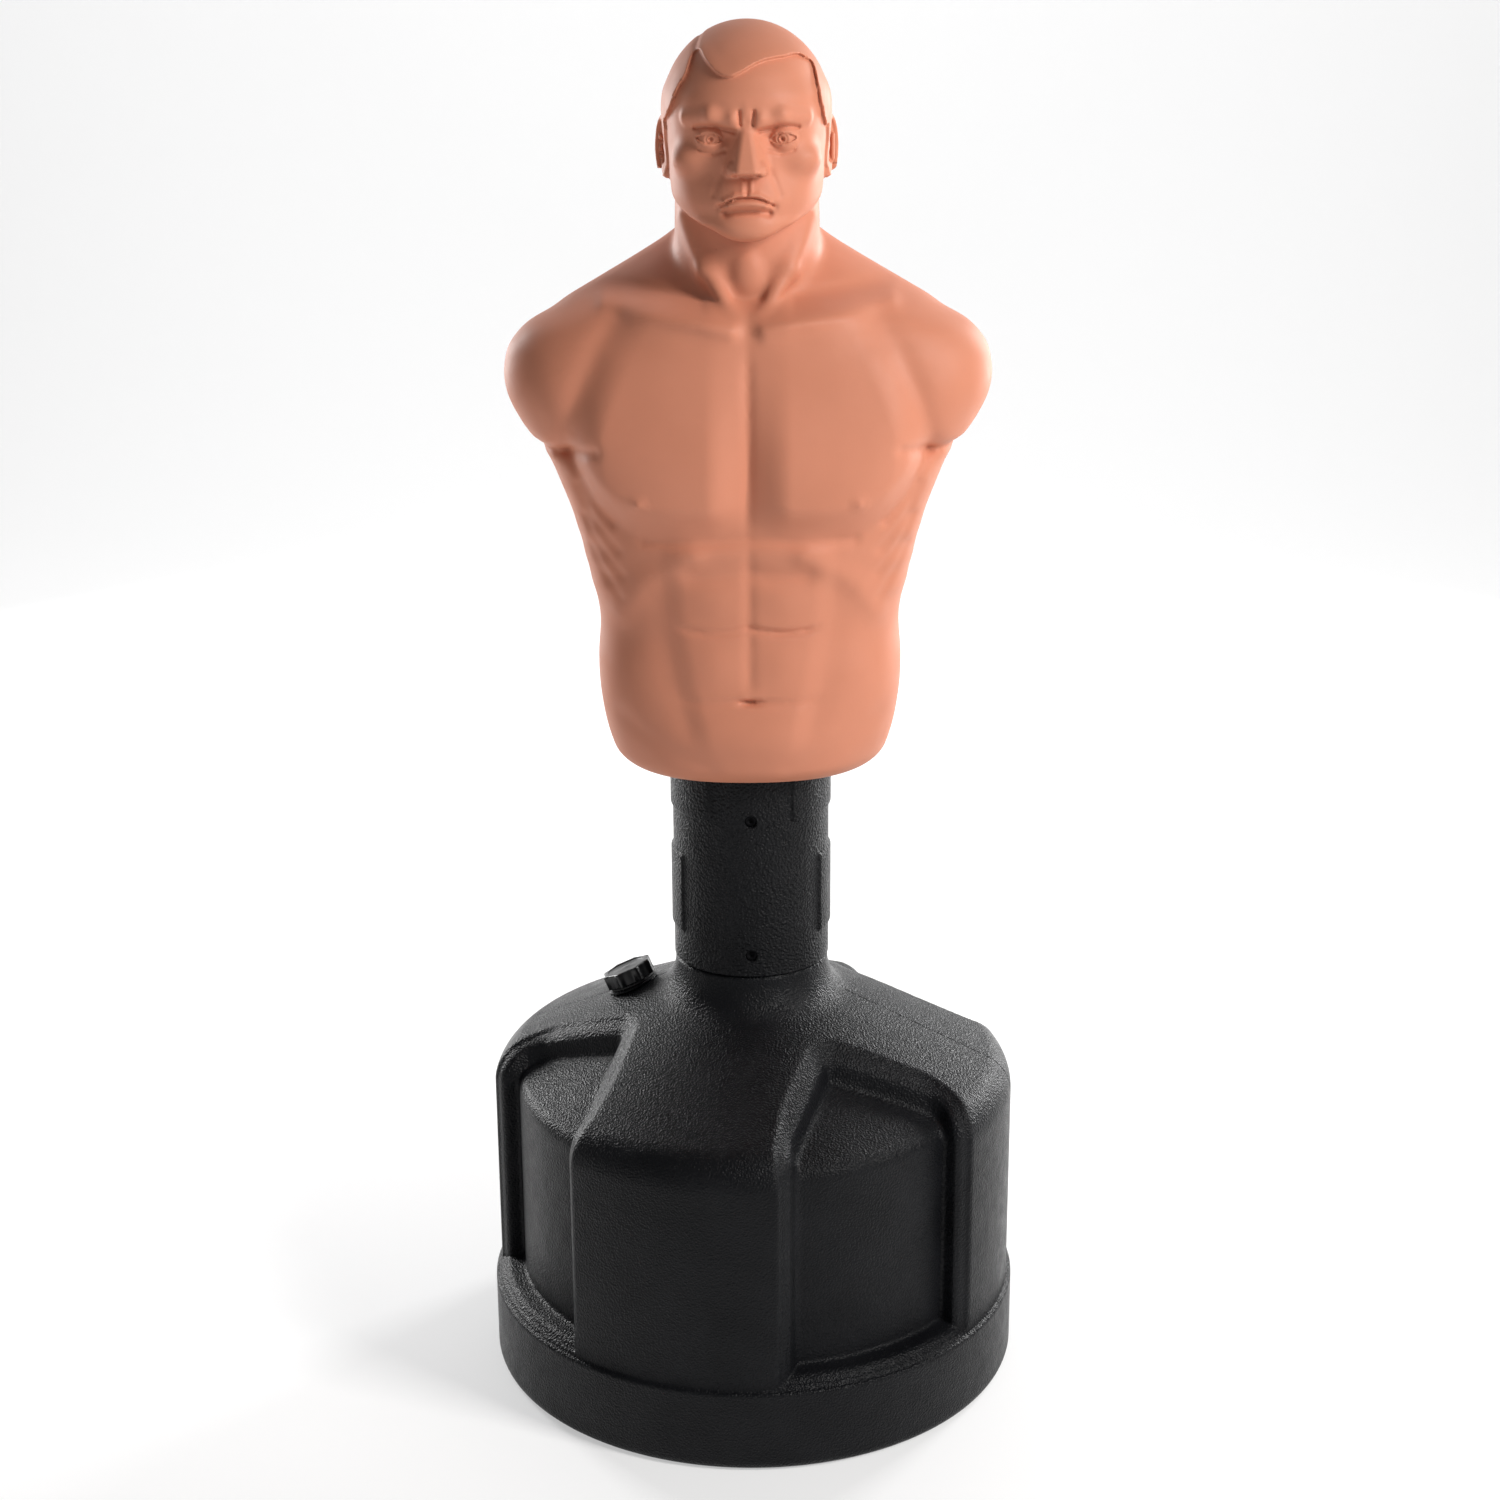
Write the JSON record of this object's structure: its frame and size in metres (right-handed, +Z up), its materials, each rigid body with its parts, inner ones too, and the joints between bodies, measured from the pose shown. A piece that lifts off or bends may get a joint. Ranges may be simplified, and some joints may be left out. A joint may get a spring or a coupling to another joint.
{
  "type": "body opponent mannequin",
  "caption": "Free-standing punching torso with head on a height-adjustable post and a round water-filled base.",
  "frame": {"origin": "on the floor, under the middle of the round base", "axes": "+Z up along the post's axis; the mannequin faces -Y; +X is to the right of someone who faces it"},
  "size_m": [0.613, 0.613, 1.5235],
  "materials": {
    "base_plastic": "moulded polyethylene with a fine pebble grain, black",
    "post_plastic": "moulded polyethylene with a coarse pebble grain, black",
    "cap_plastic": "smooth satin moulding, black",
    "sleeve_plastic": "smooth black liner tube",
    "skin_vinyl": "soft satin vinyl skin, tan",
    "foam": "moulded polyurethane foam, cream",
    "dark_steel": "blackened steel",
    "insert_brass": "turned brass",
    "seal_rubber": "moulded black rubber",
    "water": "water, shown as a plain solid"
  },
  "bodies": {
    "base": {"base_tank": "base_plastic", "fill_neck": "base_plastic", "water_ballast": "water", "post_tube": "post_plastic", "post_screw_front_lower": "dark_steel", "post_screw_rear_lower": "dark_steel", "post_screw_front_upper": "dark_steel", "post_screw_rear_upper": "dark_steel", "threaded_insert_front_lower": "insert_brass", "threaded_insert_rear_lower": "insert_brass", "threaded_insert_front_upper": "insert_brass", "threaded_insert_rear_upper": "insert_brass"},
    "sleeve": {"socket_sleeve": "sleeve_plastic", "lock_lug_front": "sleeve_plastic", "lock_lug_rear": "sleeve_plastic"},
    "torso": {"torso_skin": "skin_vinyl", "foam_core": "foam"},
    "seal": {"cap_seal": "seal_rubber"},
    "cap": {"fill_cap": "cap_plastic"}
  },
  "joints": [
    {"name": "torso_height", "type": "slide", "parent": "base", "child": "sleeve", "axis": [0, 0, 1], "range_m": [0, 0.4572]},
    {"name": "torso_turn", "type": "hinge", "parent": "sleeve", "child": "torso", "pos_m": [0, 0, 0.95], "axis": [0, 0, 1], "range_deg": [-90, 90]},
    {"name": "cap_lift", "type": "slide", "parent": "base", "child": "seal", "axis": [-0.3914, 0.1272, 0.9114], "range_m": [0, 0.0121]},
    {"name": "cap_turn", "type": "hinge", "parent": "seal", "child": "cap", "pos_m": [-0.13885, 0.04512, 0.43048], "axis": [-0.3914, 0.1272, 0.9114], "range_deg": [0, 1080]}
  ],
  "couplings": [
    {"joint": "cap_lift", "follows": "cap_turn", "m_per_rad": 0.00063662}
  ]
}
